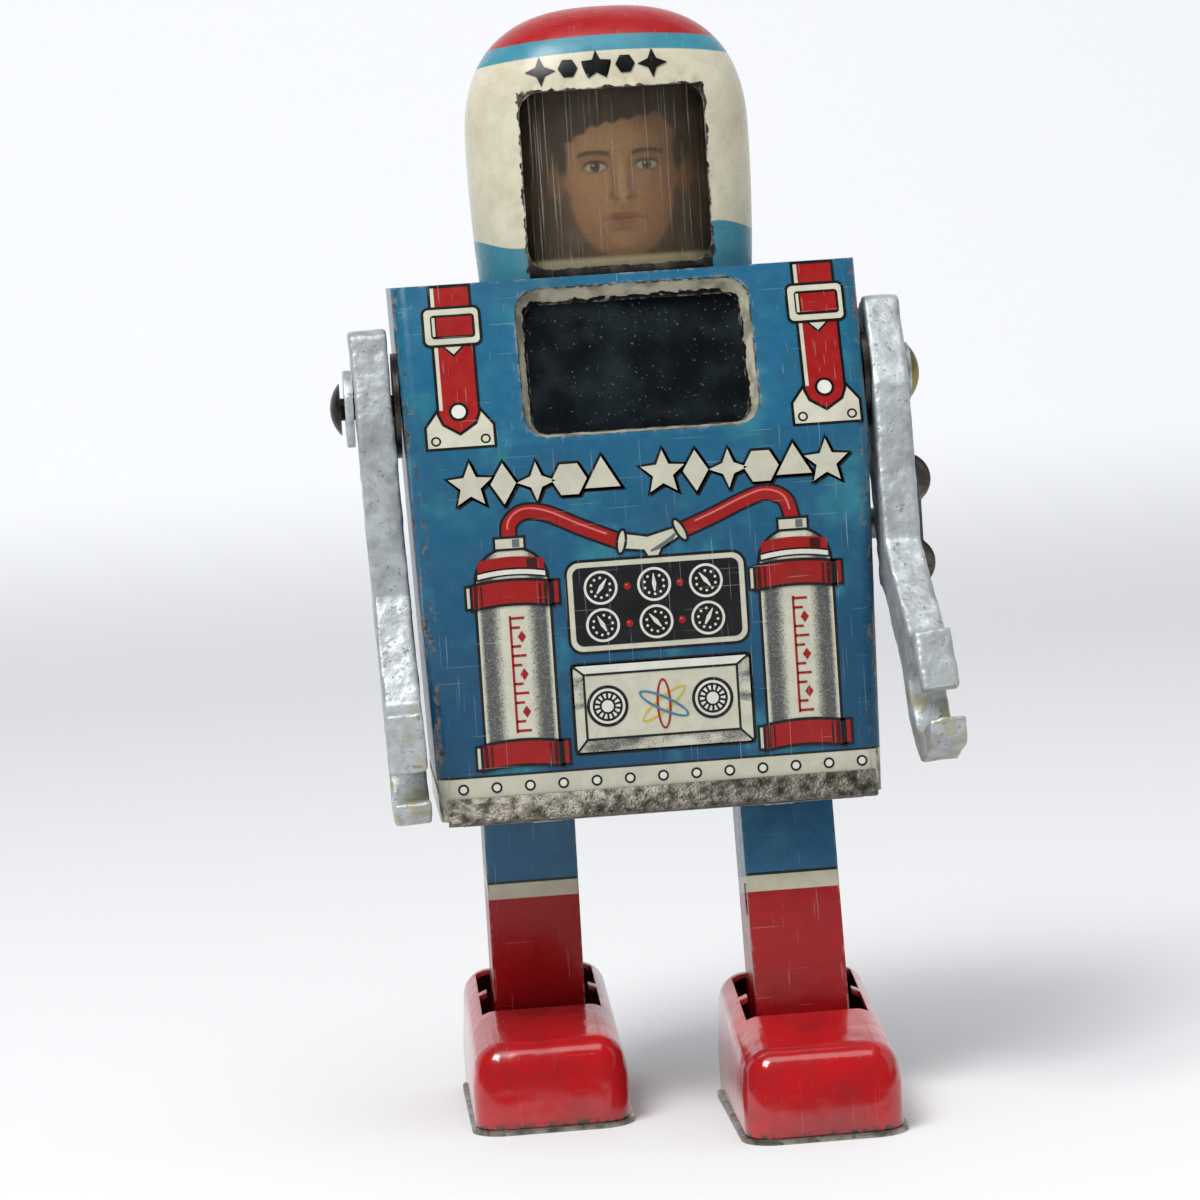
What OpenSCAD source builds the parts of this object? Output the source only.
// Clockwork tin space robot that walks and throws sparks.
// Millimetres. +Z up, the robot faces -Y, and its own left side is +X.
// The origin is on the ground, under the middle of the whole robot's outline at rest.
// The modules below draw in trunk coordinates, with X = 0 and Y = 0 on the trunk's own
// middle, and placed() moves every piece from there to the origin.

/* [Trunk] */
// Half of the trunk's width at its top edge
trunk_half_top = 33.3; // [32.6:0.1:34]
// Half of the trunk's width at its bottom edge
trunk_half_bottom = 31.5; // [31:0.1:32.4]
// Height of the trunk's bottom edge
trunk_bottom = 45.6; // [45:0.1:46.5]
// Height of the crease where the chest starts to lean back
trunk_crease = 98; // [96:0.5:100]
// Height of the trunk's top edge
trunk_top = 121.3; // [120:0.1:123]
// Front face of the trunk below the crease
trunk_front = -18; // [-19:0.1:-17.5]
// Back face of the trunk
trunk_back = 20; // [19.8:0.1:22]
// How far the top edge stands behind the crease
chest_lean = 8.8; // [7:0.1:9.5]
// Radius of the trunk's upright edges
edge_radius = 2.2; // [1.5:0.1:3]
// Thickness of the tin plate
sheet = 0.6; // [0.5:0.05:0.7]

/* [Chest window] */
// Width of the window at the chest's surface
window_w = 33.6; // [32:0.1:34.5]
// Height of the window at the chest's surface, along the slope
window_h = 22.4; // [21:0.1:23]
// Sideways place of the window's middle
window_x = 0.8; // [0:0.1:1]
// Radius of the window's corners
window_r = 3.6; // [2.5:0.1:4.5]
// Depth of the window's sloping rim
window_depth = 3; // [2:0.1:3.5]

/* [Helmet] */
// Half of the helmet's width where it is widest
helmet_half_w = 20.6; // [19.5:0.1:21.5]
// Half of the helmet's depth
helmet_half_d = 14.4; // [13.5:0.1:14.6]
// Top of the helmet
helmet_top = 160; // [158:0.5:162]
// Height where the dome starts to curve in
helmet_spring = 140; // [137:0.5:142]

/* [Legs] */
// Distance from the middle to the middle of each leg
leg_x = 18.3; // [18:0.1:18.6]
// Width of a leg
leg_w = 13.3; // [12.8:0.1:13.4]
// Depth of a leg, front to back
leg_d = 12; // [11:0.1:12.4]
// Height of the hip studs
hip_z = 76; // [75:0.5:77]
// Height of the ankle pins
ankle_z = 9.5; // [9:0.1:10]
// Lean of each leg at rest: one leads, the other trails
stride = 9; // [7:0.5:9]

/* [Feet] */
// Width of a foot shell
foot_w = 22.4; // [21.5:0.1:23]
// Length of a foot shell
foot_l = 41; // [40:0.5:42]
// From the ankle pin to the toe
toe = 27; // [26:0.5:28]

/* [Arms] */
// Height of the shoulder rivets
shoulder_z = 104.5; // [104:0.1:105]
// Shoulder rivets, front to back
shoulder_y = -6; // [-7:0.1:-5.5]
// Distance from the middle to the middle of each arm
arm_x = 36.8; // [36.8:0.1:37.4]
// Thickness of an arm
arm_t = 5.3; // [5:0.1:5.5]
// Forward swing of the left arm at rest
left_arm_swing = 19; // [14:1:22]
// Outward set of the left arm's bent lower end
left_arm_splay = 5; // [3:1:8]
// Lean of both arms, in line with the sides of the trunk
arm_lean = 1.3; // [0:0.1:1.3]

/* [Clockwork] */
// Winding arbor, front to back
arbor_y = 8.5; // [8:0.1:8.6]
// Height of the winding arbor
arbor_z = 82; // [81.5:0.1:82.5]
// Height of the crankshaft
crank_z = 63; // [62.8:0.1:63.5]
// Gear module of the great wheel and its pinions
great_module = 0.6; // [0.6:0.01:0.6]
// Gear module of the faster wheels and their pinions
fine_module = 0.5; // [0.5:0.01:0.5]
// Running clearance between a shaft and its hole, on the radius
run = 0.05; // [0.03:0.01:0.06]

/* [Hidden] */

$fn = 48;
soft_fn = 32;
gap = 0.02;
through = 1;

// Heights and tilts that follow from the trunk's sizes
deck_top = trunk_top - 0.2;
chest_tilt = atan2(chest_lean, trunk_top - trunk_crease);
window_up = 12.2;
bevel_in = 1.5;
pane_margin = 1;
helmet_y = trunk_back - helmet_half_d - 0.3;
neck = 0.965;

// Legs and feet
leg_length = (hip_z - ankle_z) / cos(stride);
stud_r = 1;
slot_half = leg_d / 2 / cos(stride) + (hip_z - trunk_bottom) * tan(stride) + 0.4;
sole_t = 0.8;
ear_x = leg_w / 2 + 1.35;

// Arm outline from the side: first axis forward, second axis up, shoulder rivet at the origin
elbow_v = -27;
hand = [9.2, -50.6];
hand_r = 9.4;
hand_cut = 7.6;
hand_top = 8;
hand_base = 8;
palm_r = 5;
arm_out = arm_x + arm_t / 2;
hand_tip = [hand[0] + hand_cut, hand[1] - sqrt(hand_r * hand_r - hand_cut * hand_cut)];

// Shoulder rivets, with the bosses of the left and the right arm
rivet_r = 1.6;
boss_r = [4.2, 5.5];
boss_t = [0.75, 1.2];
boss_x = [for (r = boss_r) arm_out + r * sin(arm_lean) + 0.1];
right_head_r = 3.7;

// Winding key and rivet heads, the pieces that stick out at the sides
key_x = 41;
key_lobe_r = 3.9;
rivet_head_h = 1.5;
right_head_x = boss_x[1] + boss_t[1] + 0.6;

// Middle of the robot's outline at rest, from its four outermost edges
sole_rim = 0.5;
step_half = leg_length * sin(stride);
tip_v = elbow_v + (hand_tip[1] - elbow_v) * cos(left_arm_splay) - arm_t / 2 * sin(left_arm_splay);
hand_front = shoulder_y - hand_tip[0] * cos(left_arm_swing) + tip_v * sin(left_arm_swing);
reach_front = min(hand_front, -step_half - toe - sole_rim);
reach_back = step_half + foot_l - toe + sole_rim;
outline_mid = [(key_x + key_lobe_r - right_head_x - rivet_head_h) / 2, (reach_front + reach_back) / 2];

// Clockwork layout in the Y-Z plane
plate_x = 9.5;
plate_t = 0.8;
great_teeth = 32;
pinion_teeth = 8;
upper_teeth = 24;
lower_teeth = 28;
crank_teeth = 10;
arbor_r = 1.5;
thin_r = 0.8;
crank_r = 1.2;
great_reach = (great_teeth + pinion_teeth) * great_module / 2;
upper_reach = (upper_teeth + pinion_teeth) * fine_module / 2;
lower_reach = (lower_teeth + crank_teeth) * fine_module / 2;
arbor = [arbor_y, arbor_z];
crank = [0, crank_z];
to_upper = 120;
to_spark = 110;
to_crank = atan2(crank[1] - arbor[1], crank[0] - arbor[0]);
to_lower = to_crank + corner_angle(great_reach, norm(crank - arbor), lower_reach);
upper = arbor + great_reach * [cos(to_upper), sin(to_upper)];
spark = upper + upper_reach * [cos(to_spark), sin(to_spark)];
lower = arbor + great_reach * [cos(to_lower), sin(to_lower)];
lower_to_crank = atan2(crank[1] - lower[1], crank[0] - lower[0]);
pillars = [[-4, 52], [13.5, 55], [-6, 86], [12.5, 99]];
pillar_r = 1.3;
spark_wheel_r = 6.4;
crank_throw = (hip_z - crank_z) * tan(stride);

// Angle of a triangle's corner between sides a and b, opposite side c
function corner_angle(a, b, c) = acos((a * a + b * b - c * c) / (2 * a * b));

// Half-width and front face of the trunk at a height
function trunk_half(z) =
    trunk_half_bottom + (z - trunk_bottom) * (trunk_half_top - trunk_half_bottom) / (trunk_top - trunk_bottom);
function trunk_face(z) =
    trunk_front + max(0, z - trunk_crease) * chest_lean / (trunk_top - trunk_crease);

// Direction of one tooth's centre on a driven gear so that it meshes with its driver
function mesh_phase(drive_teeth, drive_phase, direction, teeth) =
    direction + 180 + (drive_teeth * (direction - drive_phase) - 180) / teeth;

// Moves a piece from trunk coordinates to the robot's own origin
module placed() {
    translate([-outline_mid[0], -outline_mid[1], 0])
        children();
}

// Places a flat outline drawn in Y-Z, at x0, with a thickness along +X
module along_x(x0, thickness) {
    translate([x0, 0, 0])
        rotate([90, 0, 90])
            linear_extrude(thickness)
                children();
}

// Round bar along X
module bar(at, x0, x1, r) {
    along_x(x0, x1 - x0)
        translate(at)
            circle(r);
}

// Solid with rounded corners, flat on top and bottom
module rounded_slab(w, d, h, r) {
    linear_extrude(h)
        for (sx = [-1, 1])
            union() {
                for (sy = [-1, 1])
                    translate([sx * (w / 2 - r), sy * (d / 2 - r)])
                        circle(r);
                square([w - 2 * r, d], center = true);
                square([w, d - 2 * r], center = true);
            }
}

// ---- Trunk ----

// Four thin corner discs of the trunk at one height
module trunk_section(z, inset) {
    r = edge_radius - inset * 0.8;
    half = trunk_half(z) - inset - r;
    for (sx = [-1, 1]) {
        translate([sx * half, trunk_face(z) + inset / cos(chest_tilt / 2) + r, z])
            cylinder(h = 0.01, r = r, $fn = soft_fn);
        translate([sx * half, trunk_back - inset - r, z])
            cylinder(h = 0.01, r = r, $fn = soft_fn);
    }
}

// Solid block of the trunk, reduced by an inset and extended by a reach above and below
module trunk_block(inset, reach) {
    hull() {
        trunk_section(trunk_bottom - reach, inset);
        trunk_section(trunk_crease, inset);
        trunk_section(trunk_top + reach, inset);
    }
}

seam_y = 10;

// Keeps only what lies in front of the side seam
module before_seam(y) {
    intersection() {
        children();
        translate([-50, y - 100, 0])
            cube([100, 100, 200]);
    }
}

// Frame of reference on the leaning chest: +Z points out of the chest, +Y up the slope
module on_chest() {
    translate([0, trunk_front, trunk_crease])
        rotate([90 - chest_tilt, 0, 0])
            children();
}

// Window pane shape with a margin around the opening
module window_block(margin, h) {
    translate([window_x, window_up, 0])
        rounded_slab(window_w + 2 * margin, window_h + 2 * margin, h, window_r + margin);
}

// Funnel between the chest's surface and the deeper window plane
module window_funnel(grow) {
    on_chest()
        hull() {
            translate([0, 0, 0.01])
                window_block(grow, 0.01);
            translate([0, 0, -window_depth])
                window_block(grow - bevel_in, 0.01);
        }
}

tab_x = 16.5;
tab_w = 4;

module trunk_front() {
    color("steelblue")
        placed()
            difference() {
                union() {
                    before_seam(seam_y)
                        difference() {
                            trunk_block(0, 0);
                            trunk_block(sheet, through);
                        }
                    window_funnel(sheet);
                    for (sx = [-1, 1])
                        translate([sx * tab_x - tab_w / 2, trunk_front, trunk_bottom - 0.9])
                            cube([tab_w, sheet, 2]);
                }
                window_funnel(0);
                on_chest()
                    translate([0, 0, -window_depth - 5])
                        window_block(-bevel_in, 5.02);
                for (sx = [-1, 1])
                    bar([shoulder_y, shoulder_z], sx > 0 ? 20 : -50, sx > 0 ? 50 : -20, 1.6 + gap);
                bar(arbor, 20, 50, 2.6);
            }
}

flange = 3;
flange_short = 1.05;

// Everything behind one upright plane
module behind(y) {
    translate([-50, y, 0])
        cube([100, 100, 200]);
}

// Strip of solid across the seam, clear of the deck and the base plate
module seam_strip(inset, y0) {
    before_seam(seam_y + flange)
        intersection() {
            trunk_block(inset, -flange_short);
            behind(y0);
        }
}

module trunk_back() {
    color("steelblue")
        placed()
            difference() {
                union() {
                    difference() {
                        intersection() {
                            trunk_block(0, 0);
                            behind(seam_y + gap);
                        }
                        trunk_block(sheet, through);
                    }
                    // flange that slips inside the front shell
                    difference() {
                        union() {
                            seam_strip(sheet + gap, seam_y - flange);
                            seam_strip(sheet / 2, seam_y + gap);
                        }
                        trunk_block(2 * sheet, through);
                    }
                }
                bar(arbor, 20, 50, 2.6);
            }
}

// Bend-over tabs under the helmet's rim, two at the sides and one behind
helmet_tab_w = 3;
helmet_tab_t = 0.5;
side_tab_x = neck * helmet_half_w - sheet / 2 - 0.05;
back_tab_y = neck * helmet_half_d - sheet / 2 - 0.05;

module helmet_tab(at, w, d, grow, z0, z1) {
    translate([at[0] - w / 2 - grow, helmet_y + at[1] - d / 2 - grow, z0])
        cube([w + 2 * grow, d + 2 * grow, z1 - z0]);
}

module helmet_tabs(grow, z0, z1) {
    for (sx = [-1, 1])
        helmet_tab([sx * side_tab_x, 0], helmet_tab_t, helmet_tab_w, grow, z0, z1);
    helmet_tab([0, back_tab_y], helmet_tab_w, helmet_tab_t, grow, z0, z1);
}

module trunk_top() {
    color("steelblue")
        placed()
            difference() {
                intersection() {
                    trunk_block(sheet + gap, 0);
                    translate([-50, -50, deck_top - 0.6])
                        cube([100, 100, 0.6]);
                }
                helmet_tabs(0.1, deck_top - 2, deck_top + 1);
                translate([0, helmet_y - 4, deck_top - 2])
                    cylinder(h = 4, r = 3);
            }
}

lip_out = 2.2;
lip_h = 3.2;
plate_z = trunk_bottom + 0.4;

module base_plate() {
    color("silver")
        placed()
            difference() {
                union() {
                    intersection() {
                        trunk_block(sheet + gap, 0);
                        translate([-50, -50, plate_z])
                            cube([100, 100, sheet]);
                    }
                    // flared front lip that hooks under the front panel
                    translate([-trunk_half_bottom + 1, 0, 0])
                        rotate([90, 0, 90])
                            linear_extrude(2 * trunk_half_bottom - 2)
                                polygon([[trunk_front - gap, trunk_bottom - 0.7],
                                    [trunk_front - lip_out, trunk_bottom - 0.2],
                                    [trunk_front - lip_out + 0.3, trunk_bottom + 0.6],
                                    [trunk_front - 0.5, trunk_bottom + lip_h],
                                    [trunk_front - gap, trunk_bottom + lip_h]]);
                    translate([-trunk_half_bottom + 3, trunk_front - 0.5, trunk_bottom - 0.7])
                        cube([2 * trunk_half_bottom - 6, 1.5, 0.6]);
                    translate([-trunk_half_bottom + 3, trunk_front + sheet + 0.1, trunk_bottom - 0.7])
                        cube([2 * trunk_half_bottom - 6, 0.6, 1.4]);
                }
                for (sx = [-1, 1]) {
                    translate([sx * leg_x - leg_w / 2 - 0.5, -slot_half, trunk_bottom - 1])
                        cube([leg_w + 1, 2 * slot_half, 3]);
                    translate([sx * tab_x - tab_w / 2 - 0.1, trunk_front - 0.1, trunk_bottom - 2])
                        cube([tab_w + 0.2, sheet + 0.2, 3]);
                }
            }
}

// ---- Helmet ----

// Ring of points of the dome: a squarish oval that closes towards the top
ring_points = 56;
ring_rows = 13;
plan_power = 2.5;
dome_power = 2.6;
function signed_power(v, p) = sign(v) * pow(abs(v), p);
function dome_rise(row) = sin(90 * (row - 1) / ring_rows);
function dome_height(row, base, spring, top) =
    row == 0 ? base : spring + (top - spring) * dome_rise(row);
function dome_scale(row) =
    row == 0 ? neck : pow(max(0, 1 - pow(dome_rise(row), dome_power)), 1 / dome_power);
function plan_point(a) = [signed_power(cos(a), 2 / plan_power), signed_power(sin(a), 2 / plan_power)];
function dome_ring(row, half_w, half_d, base, spring, top) = [
    for (i = [0:ring_points - 1])
        let (p = dome_scale(row) * plan_point(360 * i / ring_points))
            [half_w * p[0], helmet_y + half_d * p[1], dome_height(row, base, spring, top)]];

module dome(half_w, half_d, base, spring, top) {
    points = concat(
        [for (row = [0:ring_rows]) each dome_ring(row, half_w, half_d, base, spring, top)],
        [[0, helmet_y, base], [0, helmet_y, top]]);
    last = ring_points * (ring_rows + 1);
    sides = [for (row = [0:ring_rows - 1], i = [0:ring_points - 1])
        let (j = (i + 1) % ring_points)
            [row * ring_points + i, (row + 1) * ring_points + i, (row + 1) * ring_points + j, row * ring_points + j]];
    floor_faces = [for (i = [0:ring_points - 1]) [last, i, (i + 1) % ring_points]];
    cap = [for (i = [0:ring_points - 1])
        [last + 1, ring_rows * ring_points + (i + 1) % ring_points, ring_rows * ring_points + i]];
    polyhedron(points, concat(sides, floor_faces, cap), convexity = 4);
}

visor_half_w = 13.2;
visor_bottom = 122.5;
visor_top = 147.6;
visor_r = 3;

// Block that cuts the helmet's window from the front
module visor_cut(margin) {
    translate([0, helmet_y, (visor_bottom + visor_top) / 2])
        rotate([90, 0, 0])
            rounded_slab(2 * (visor_half_w + margin), visor_top - visor_bottom + 2 * margin, 60, visor_r + margin);
}

module helmet() {
    color("ivory")
        placed()
            union() {
                difference() {
                    dome(helmet_half_w, helmet_half_d, deck_top, helmet_spring, helmet_top);
                    dome(helmet_half_w - sheet, helmet_half_d - sheet, deck_top - 1, helmet_spring, helmet_top - sheet);
                    visor_cut(0);
                }
                helmet_tabs(0, deck_top - 1.6, deck_top + 2);
            }
}

visor_radius = 24;

// Upright curved sheet inside the helmet window
module curved_sheet(front_y, half_w, z0, z1, t) {
    intersection() {
        translate([0, front_y + visor_radius, z0])
            difference() {
                cylinder(h = z1 - z0, r = visor_radius, $fn = 96);
                translate([0, 0, -1])
                    cylinder(h = z1 - z0 + 2, r = visor_radius - t, $fn = 96);
            }
        translate([-half_w, front_y - 1, z0])
            cube([2 * half_w, 16, z1 - z0]);
    }
}

visor_front = helmet_y - helmet_half_d + sheet + 1;

module helmet_visor() {
    color("white", 0.3)
        placed()
            curved_sheet(visor_front, 14.6, deck_top + 0.9, visor_top + 1, 0.4);
}

module face_plate() {
    color("tan")
        placed()
            curved_sheet(visor_front + 2.5, 14.2, deck_top + 0.5, visor_top + 1.5, 0.4);
}

module spark_window() {
    color("dimgray")
        placed()
            on_chest()
                translate([0, 0, -window_depth - 0.6])
                    window_block(pane_margin - bevel_in, 0.5);
}

// ---- Clockwork frame ----

plate_outline = [[-8, 46 + sheet], [16, 46 + sheet], [16, 60], [15.5, 101], [12, 103.5], [4, 106], [-6, 106], [-8, 100]];

module motor_plate(x0) {
    difference() {
        along_x(x0, plate_t)
            polygon([for (p = plate_outline) [p[0], max(p[1], plate_z + sheet)]]);
        bar(arbor, x0 - 1, x0 + 2, arbor_r + run);
        for (at = [upper, spark, lower])
            bar(at, x0 - 1, x0 + 2, thin_r + run);
        bar(crank, x0 - 1, x0 + 2, crank_r + run);
        bar([0, hip_z], x0 - 1, x0 + 2, stud_r + gap);
        for (at = pillars)
            bar(at, x0 - 1, x0 + 2, 0.7 + gap);
    }
}

module motor_plate_left() {
    color("goldenrod")
        placed()
            motor_plate(plate_x - plate_t / 2);
}

module motor_plate_right() {
    color("goldenrod")
        placed()
            motor_plate(-plate_x - plate_t / 2);
}

module motor_pillars() {
    inner = plate_x - plate_t / 2 - gap;
    color("silver")
        placed()
            for (at = pillars) {
                bar(at, -inner, inner, pillar_r);
                bar(at, -inner - plate_t - 0.5, inner + plate_t + 0.5, 0.7);
            }
}

stud_out = leg_x + leg_w / 2 + 2.1;

module hip_studs() {
    inner = plate_x - plate_t / 2 - 0.3;
    color("silver")
        placed()
            for (sx = [-1, 1]) {
                bar([0, hip_z], sx > 0 ? inner : -stud_out, sx > 0 ? stud_out : -inner, stud_r);
                bar([0, hip_z], sx > 0 ? plate_x + plate_t / 2 + gap : -11.3, sx > 0 ? 11.3 : -plate_x - plate_t / 2 - gap, 1.8);
            }
}

module hip_collars() {
    near = leg_x + leg_w / 2 + 0.2;
    color("silver")
        placed()
            for (sx = [-1, 1])
                along_x(sx > 0 ? near : -near - 1.2, 1.2)
                    difference() {
                        translate([0, hip_z])
                            circle(2.2);
                        translate([0, hip_z])
                            circle(stud_r + gap);
                    }
}

// ---- Gears ----

// Flat outline of a gear with short, straight-sided teeth; one tooth points along phase
module gear_outline(teeth, m, phase) {
    r = teeth * m / 2;
    tip = r + 0.75 * m;
    root = r - 0.95 * m;
    pitch = 360 / teeth;
    polygon([for (i = [0:teeth - 1])
        for (corner = [[root, -0.29], [tip, -0.11], [tip, 0.11], [root, 0.29]])
            corner[0] * [cos(phase + (i + corner[1]) * pitch), sin(phase + (i + corner[1]) * pitch)]]);
}

// Gear with a round bore, centred on a point of the layout
module gear(at, x0, t, teeth, m, phase, bore) {
    difference() {
        along_x(x0, t)
            translate(at)
                gear_outline(teeth, m, phase);
        bar(at, x0 - 1, x0 + t + 1, bore);
    }
}

upper_pinion_phase = mesh_phase(great_teeth, 0, to_upper, pinion_teeth);
lower_pinion_phase = mesh_phase(great_teeth, 0, to_lower, pinion_teeth);
spark_phase = mesh_phase(upper_teeth, 0, to_spark, pinion_teeth);
crank_phase = mesh_phase(lower_teeth, 0, lower_to_crank, crank_teeth);

// Wheel with round lightening holes around its hub
module spoked_gear(at, x0, t, teeth, m, phase, bore, holes) {
    reach = teeth * m / 4 + bore / 2 - 0.1;
    difference() {
        gear(at, x0, t, teeth, m, phase, bore);
        for (i = [0:holes - 1])
            bar(at + reach * [cos(360 * i / holes), sin(360 * i / holes)], x0 - 1, x0 + t + 1,
                teeth * m / 2 * 0.2);
    }
}

module great_wheel() {
    color("goldenrod")
        placed()
            spoked_gear(arbor, -1.5, 1.2, great_teeth, great_module, 0, arbor_r + gap, 5);
}

module upper_pinion() {
    color("silver")
        placed()
            gear(upper, -2, 2.2, pinion_teeth, great_module, upper_pinion_phase, thin_r + gap);
}

module lower_pinion() {
    color("silver")
        placed()
            gear(lower, -2, 2.2, pinion_teeth, great_module, lower_pinion_phase, thin_r + gap);
}

module upper_wheel() {
    color("goldenrod")
        placed()
            spoked_gear(upper, 3, 1, upper_teeth, fine_module, 0, thin_r + gap, 4);
}

module lower_wheel() {
    color("goldenrod")
        placed()
            spoked_gear(lower, 3, 1, lower_teeth, fine_module, 0, thin_r + gap, 4);
}

module spark_pinion() {
    color("silver")
        placed()
            gear(spark, 2.5, 2, pinion_teeth, fine_module, spark_phase, thin_r + gap);
}

module crank_pinion() {
    color("silver")
        placed()
            gear(crank, 2.5, 2, crank_teeth, fine_module, crank_phase, crank_r + gap);
}

// ---- Arbors ----

module thin_arbor(at) {
    end = plate_x + plate_t / 2 + 0.3;
    bar(at, -end, end, thin_r);
}

module upper_arbor() {
    color("silver")
        placed()
            thin_arbor(upper);
}

module spark_arbor() {
    color("silver")
        placed()
            thin_arbor(spark);
}

module lower_arbor() {
    color("silver")
        placed()
            thin_arbor(lower);
}

key_lobe_z = 6.2;
key_t = 1.3;
key_hub_r = 2.3;

module winding_arbor() {
    color("silver")
        placed()
            union() {
                bar(arbor, -plate_x - plate_t / 2 - 0.4, key_x - 6, arbor_r);
                bar(arbor, -8.8, -2.3, 2.2);
            }
}

module winding_key() {
    color([0.23, 0.2, 0.17])
        placed()
            difference() {
                union() {
                    bar(arbor, 33.2, key_x - 2, key_hub_r);
                    for (sz = [-1, 1])
                        translate([key_x, arbor_y + key_t / 2, arbor_z + sz * key_lobe_z])
                            rotate([90, 0, 0])
                                cylinder(h = key_t, r = key_lobe_r);
                    translate([key_x - 4, arbor_y - key_t / 2, arbor_z - key_lobe_z + 1])
                        cube([6.3, key_t, 2 * key_lobe_z - 2]);
                }
                bar(arbor, 32, key_x - 5.5, arbor_r + gap);
            }
}

ratchet_teeth = 10;

module ratchet_wheel() {
    color("silver")
        placed()
            difference() {
                along_x(0.2, 1)
                    translate(arbor)
                        polygon([for (i = [0:ratchet_teeth - 1])
                            for (corner = [[3.1, 0], [4.1, 0.85]])
                                corner[0] * [cos((i + corner[1]) * 360 / ratchet_teeth), sin((i + corner[1]) * 360 / ratchet_teeth)]]);
                bar(arbor, 0, 2, arbor_r + gap);
            }
}

module click_spring() {
    color("silver")
        placed()
            union() {
                bar(arbor + [0, -7.4], -0.28, 1.2, 0.9);
                along_x(0.3, 0.8)
                    translate(arbor)
                        polygon([[-0.6, -7.6], [-0.6, -7.1], [3.6, -3.3], [4.1, -3.5], [3.9, -4.2]]);
            }
}

// Flat spiral strip from the arbor's hub to the near pillar
module mainspring() {
    turns = 6;
    steps = 22 * turns;
    r_in = 2.35;
    r_out = 10.2;
    strip = 0.28;
    start = 60;
    function spiral(i, shift) =
        let (a = start + 360 * turns * i / steps, r = r_in + (r_out - r_in) * i / steps + shift)
            r * [cos(a), sin(a)];
    color("slategray")
        placed()
            along_x(-8.4, 5.8)
                translate(arbor)
                    polygon(concat([for (i = [0:steps]) spiral(i, 0)], [for (i = [steps:-1:0]) spiral(i, strip)]));
}

// ---- Spark gear ----

module spark_wheel() {
    color("darkslategray")
        placed()
            difference() {
                bar(spark, -7, -5.2, spark_wheel_r);
                bar(spark, -8, -4, thin_r + gap);
            }
}

module flint_spring() {
    color("silver")
        placed()
            along_x(-6.9, 1.6)
                translate(spark)
                    polygon([[-spark_wheel_r - 1.3, -12.4], [-spark_wheel_r - 1.0, -12.4], [-spark_wheel_r - 1.35, 0.8],
                        [-spark_wheel_r - 1.7, 0.8]]);
}

module flint() {
    color("dimgray")
        placed()
            along_x(-6.8, 1.4)
                translate(spark + [-spark_wheel_r - 1.3, -0.9])
                    square([1.22, 1.5]);
}

// ---- Crank ----

module crankshaft() {
    color("silver")
        placed()
            bar(crank, -plate_x - 1.55, plate_x + 1.55, crank_r);
}

crank_disc_x = plate_x + plate_t / 2 + 0.15;

module crank_disc(side, throw_y) {
    x0 = side > 0 ? crank_disc_x : -crank_disc_x - 0.9;
    pin_x = side > 0 ? crank_disc_x + 0.8 : -crank_disc_x - 0.9 - 0.35;
    color("silver")
        placed()
            difference() {
                union() {
                    bar(crank, x0, x0 + 0.9, 3.6);
                    bar(crank + [throw_y, 0], pin_x, pin_x + 0.45, 0.9);
                }
                bar(crank, x0 - 1, x0 + 1.1, crank_r + gap);
            }
}

module crank_disc_left() {
    crank_disc(1, -crank_throw);
}

module crank_disc_right() {
    crank_disc(-1, crank_throw);
}

// ---- Legs ----

// Outline of a leg from the side, hanging straight down from the hip
module leg_side() {
    union() {
        circle(leg_d / 2 - 0.6);
        translate([-leg_d / 2, -leg_length - 2])
            square([leg_d, leg_length + 2]);
        intersection() {
            translate([0, -leg_length])
                circle(leg_d / 2 + 0.6);
            translate([-leg_d / 2, -leg_length - 4.2])
                square([leg_d, 6]);
        }
    }
}

leg_band = 42.2;

// Channel leg: front face and two sides with narrow lips behind
module leg(side, lean) {
    placed()
        translate([side * leg_x, 0, hip_z])
            rotate([lean, 0, 0])
                difference() {
                    union() {
                        color("steelblue")
                            along_x(-leg_w / 2, leg_w)
                                intersection() {
                                    leg_side();
                                    translate([-10, -leg_band])
                                        square([20, 80]);
                                }
                        color("firebrick")
                            along_x(-leg_w / 2, leg_w)
                                intersection() {
                                    leg_side();
                                    translate([-10, -leg_band - 80])
                                        square([20, 80]);
                                }
                    }
                    translate([-leg_w / 2 + sheet, -leg_d / 2 + sheet, -leg_length - 20])
                        cube([leg_w - 2 * sheet, leg_d - 2 * sheet, leg_length + 40]);
                    translate([-leg_w / 2 + 2.2, 0, -leg_length - 20])
                        cube([leg_w - 4.4, leg_d, leg_length + 40]);
                    bar([0, 0], -20, 20, stud_r + run);
                    bar([0, -leg_length], -20, 20, stud_r + run);
                    // slot for the crank pin in the inner wall
                    along_x(side > 0 ? -leg_w : 0.1, leg_w - 0.1)
                        translate([-1.1, crank_z - hip_z - 2.6])
                            square([2.2, 5.2]);
                    // tool slot low on the inner wall
                    along_x(side > 0 ? -leg_w : 0.1, leg_w - 0.1)
                        translate([-4.4, 27 - hip_z])
                            square([2.4, 4.6]);
                }
}

module leg_left() {
    leg(1, -stride);
}

module leg_right() {
    leg(-1, stride);
}

// ---- Feet ----

// Places a foot under its leg, with the ankle pin on the local Z axis
module at_foot(side) {
    translate([side * leg_x, -side * leg_length * sin(stride), hip_z - leg_length * cos(stride) - ankle_z])
        children();
}

foot_low = 13.9;
foot_high = 18.4;
ankle_gap_front = -leg_d / 2 - 4.2;
ankle_gap_l = leg_d + 5.8;
ankle_gap_nub = 1.4;

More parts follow.
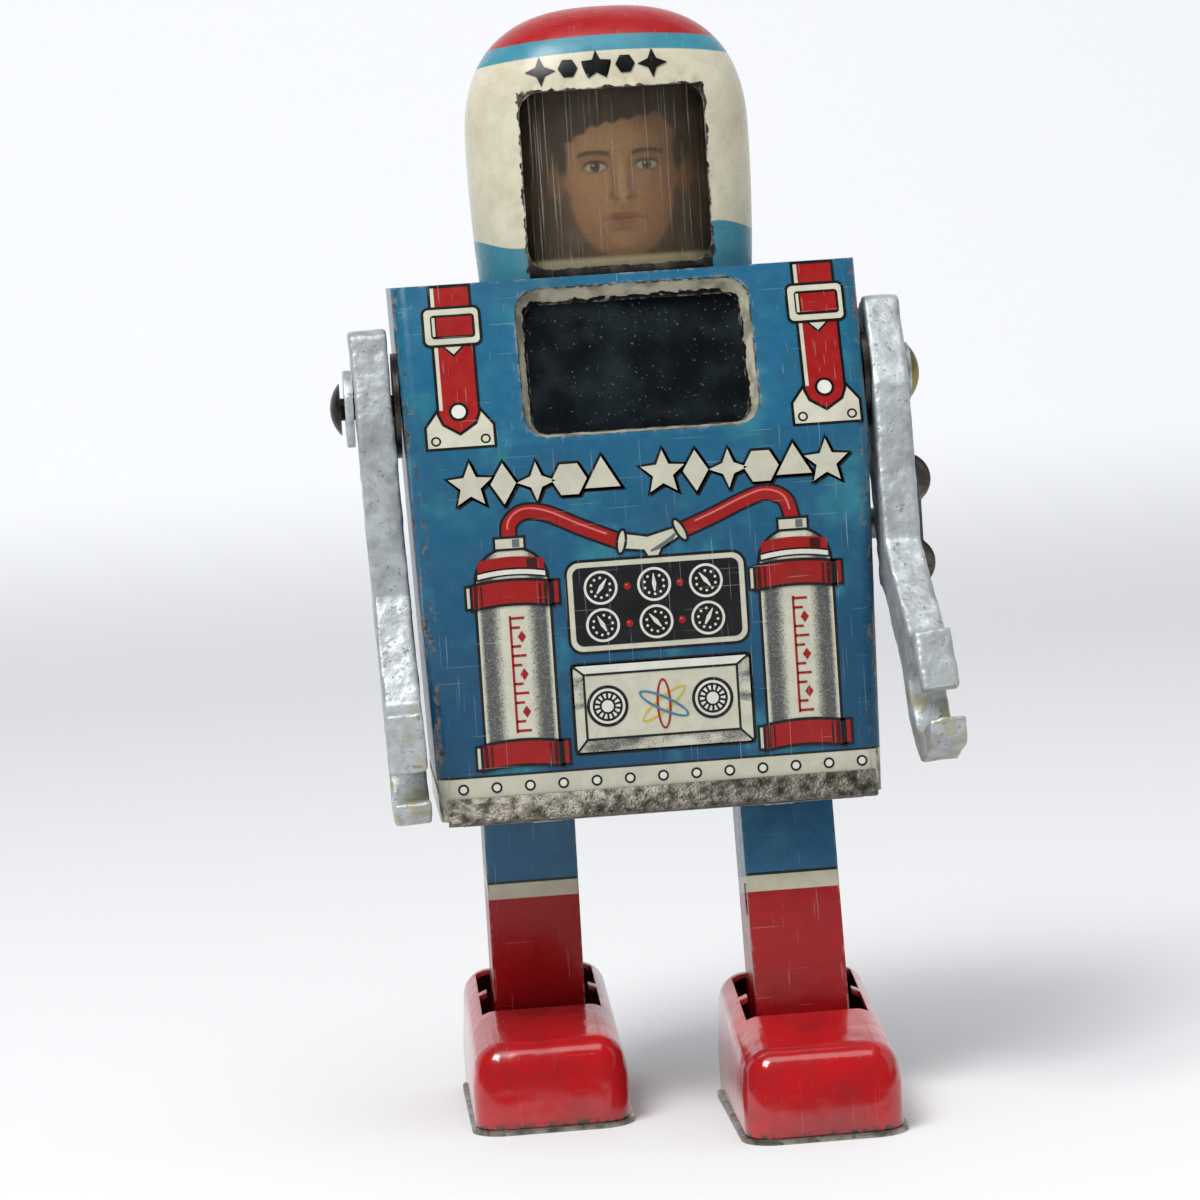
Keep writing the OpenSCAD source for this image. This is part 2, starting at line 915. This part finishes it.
// Rounded shoe form, reduced by an inset
module foot_form(inset) {
    half = foot_w / 2 - inset;
    front = -toe + inset;
    back = foot_l - toe - inset;
    corner_r = 4.5;
    top_r = 4;
    hull() {
        for (sx = [-1, 1]) {
            for (y = [front + corner_r, back - corner_r])
                translate([sx * (half - corner_r), y, sole_t + 0.05])
                    cylinder(h = 6, r = corner_r, $fn = soft_fn);
            translate([sx * (half - top_r - 0.3), front + top_r + 0.9, foot_low - top_r - inset - 1])
                sphere(top_r, $fn = soft_fn);
            translate([sx * (half - top_r - 0.5), front + top_r + 9, foot_low - top_r - inset + 0.3])
                sphere(top_r, $fn = soft_fn);
            translate([sx * (half - top_r - 0.5), back - top_r - 1.5, foot_high - top_r - inset])
                sphere(top_r, $fn = soft_fn);
        }
    }
}

module foot_shell(side) {
    color("crimson")
        placed()
            at_foot(side)
                difference() {
                    foot_form(0);
                    foot_form(sheet);
                    translate([-foot_w / 2 + sheet + 1, -toe + sheet + 2, 0])
                        cube([foot_w - 2 * sheet - 2, foot_l - 2 * sheet - 4, 3]);
                    // opening for the leg: two bays, with a nub between them on each side
                    translate([-leg_w / 2 - 0.9, ankle_gap_front, 8])
                        cube([leg_w + 1.8, ankle_gap_l, 20]);
                    for (y = [0, (ankle_gap_l + ankle_gap_nub) / 2])
                        translate([-leg_w / 2 - 2.1, ankle_gap_front + y, 8])
                            cube([leg_w + 4.2, (ankle_gap_l - ankle_gap_nub) / 2, 20]);
                }
}

module foot_shell_left() {
    foot_shell(1);
}

module foot_shell_right() {
    foot_shell(-1);
}

module sole(side) {
    color("gray")
        placed()
            at_foot(side)
                translate([0, foot_l / 2 - toe, 0])
                    rounded_slab(foot_w + 2 * sole_rim, foot_l + 2 * sole_rim, sole_t, 5);
}

module sole_left() {
    sole(1);
}

module sole_right() {
    sole(-1);
}

module ankle_bracket(side) {
    color("silver")
        placed()
            at_foot(side)
                difference() {
                    union() {
                        translate([-ear_x, -4, sole_t])
                            cube([2 * ear_x, 8, sheet]);
                        for (sx = [-1, 1])
                            along_x(sx > 0 ? ear_x - sheet : -ear_x, sheet)
                                union() {
                                    translate([-4, sole_t])
                                        square([8, ankle_z - sole_t]);
                                    translate([0, ankle_z])
                                        circle(2.6);
                                }
                    }
                    bar([0, ankle_z], -20, 20, stud_r + gap);
                }
}

module ankle_bracket_left() {
    ankle_bracket(1);
}

module ankle_bracket_right() {
    ankle_bracket(-1);
}

module ankle_pin(side) {
    color("silver")
        placed()
            at_foot(side) {
                bar([0, ankle_z], -ear_x - 0.5, ear_x + 0.5, stud_r);
                for (x = [-ear_x - 0.9, ear_x + gap])
                    bar([0, ankle_z], x, x + 0.9 - gap, 1.5);
            }
}

module ankle_pin_left() {
    ankle_pin(1);
}

module ankle_pin_right() {
    ankle_pin(-1);
}

// ---- Arms ----

washer_r = 7.5;
washer_out = arm_x - arm_t / 2 - washer_r * sin(arm_lean) - 0.1;

// Domed rivet along X, head on the outside of the arm
module shoulder_rivet(side, head_r, head_x) {
    translate([0, shoulder_y, shoulder_z])
        rotate([0, side * 90, 0])
            union() {
                cylinder(h = head_x + 0.3, r = rivet_r);
                translate([0, 0, trunk_half(shoulder_z) - sheet - 1.2])
                    cylinder(h = 0.9, r = 3);
                translate([0, 0, head_x])
                    rotate_extrude()
                        intersection() {
                            translate([0, rivet_head_h - head_r * 1.5])
                                circle(head_r * 1.5);
                            square([head_r, rivet_head_h]);
                        }
            }
}

module shoulder_rivet_left() {
    color("darkkhaki")
        placed()
            difference() {
                shoulder_rivet(1, 3.9, boss_x[0] + boss_t[0] + 0.05);
                translate([-1, -50, shoulder_z - 50])
                    cube([trunk_half(shoulder_z) - sheet - 1.2 + 1, 100, 100]);
            }
}

module shoulder_rivet_right() {
    color([0.22, 0.2, 0.2])
        placed()
            difference() {
                shoulder_rivet(-1, right_head_r, right_head_x);
                translate([-trunk_half(shoulder_z) + sheet + 1.2, -50, shoulder_z - 50])
                    cube([trunk_half(shoulder_z), 100, 100]);
            }
}

module shoulder_washers() {
    inside = trunk_half(shoulder_z + washer_r) + 0.05;
    color([0.15, 0.15, 0.17])
        placed()
            for (sx = [-1, 1])
                along_x(sx > 0 ? inside : -washer_out, washer_out - inside)
                    difference() {
                        translate([shoulder_y, shoulder_z])
                            circle(washer_r);
                        translate([shoulder_y, shoulder_z])
                            circle(rivet_r + gap);
                    }
}

module shoulder_bosses() {
    color("silver")
        placed()
            for (k = [0, 1])
                along_x(k == 0 ? boss_x[0] : -boss_x[1] - boss_t[1], boss_t[k])
                    difference() {
                        translate([shoulder_y, shoulder_z])
                            circle(boss_r[k]);
                        translate([shoulder_y, shoulder_z])
                            circle(rivet_r + gap);
                    }
}

module upper_arm_outline() {
    polygon([[2.6, 11], [3.8, 10.2], [7.2, -4], [5.2, elbow_v + 0.5], [4.8, elbow_v - 1.5], [-3.2, elbow_v - 4],
        [-3.6, elbow_v], [-4.4, -8], [-5, 9.6], [-4.2, 11]]);
}

module lower_arm_outline() {
    polygon([[5.2, elbow_v + 0.5], [12.2, -41.5], [11, -46], [2, -46], [-3.4, elbow_v - 3.8], [-3.2, elbow_v + 2]]);
}

module hand_outline() {
    difference() {
        union() {
            intersection() {
                translate(hand)
                    circle(hand_r);
                translate([hand[0] - 20, hand[1] - hand_base])
                    square([20 + hand_cut, 40]);
            }
            translate(hand)
                square([hand_cut, hand_top]);
        }
        translate(hand)
            circle(palm_r);
        translate([hand[0], hand[1] - 4.6])
            square([12, 4.2]);
    }
}

// Mirrors the forward axis onto -Y and places an outline at the shoulder
module arm_part(x0) {
    along_x(x0, arm_t)
        mirror([1, 0, 0])
            children();
}

module arm_solid(side, splay) {
    difference() {
        rotate([0, side * arm_lean, 0])
            union() {
                arm_part(-arm_t / 2)
                    upper_arm_outline();
                translate([0, 0, elbow_v])
                    rotate([0, -side * splay, 0])
                        translate([0, 0, -elbow_v])
                            arm_part(-arm_t / 2)
                                union() {
                                    lower_arm_outline();
                                    hand_outline();
                                }
            }
        bar([0, 0], -10, 10, rivet_r + run);
    }
}

module arm_left() {
    color("lightgray")
        placed()
            translate([arm_x, shoulder_y, shoulder_z])
                rotate([-left_arm_swing, 0, 0])
                    arm_solid(1, left_arm_splay);
}

module arm_right() {
    color("lightgray")
        placed()
            translate([-arm_x, shoulder_y, shoulder_z])
                arm_solid(-1, 0);
}

trunk_front();
trunk_back();
trunk_top();
base_plate();
helmet();
helmet_visor();
face_plate();
spark_window();
motor_plate_left();
motor_plate_right();
motor_pillars();
hip_studs();
hip_collars();
mainspring();
winding_arbor();
winding_key();
great_wheel();
ratchet_wheel();
click_spring();
upper_arbor();
upper_pinion();
upper_wheel();
spark_arbor();
spark_pinion();
spark_wheel();
flint_spring();
flint();
lower_arbor();
lower_pinion();
lower_wheel();
crankshaft();
crank_pinion();
crank_disc_left();
crank_disc_right();
leg_left();
leg_right();
ankle_pin_left();
ankle_pin_right();
ankle_bracket_left();
ankle_bracket_right();
foot_shell_left();
foot_shell_right();
sole_left();
sole_right();
shoulder_rivet_left();
shoulder_rivet_right();
shoulder_washers();
shoulder_bosses();
arm_left();
arm_right();
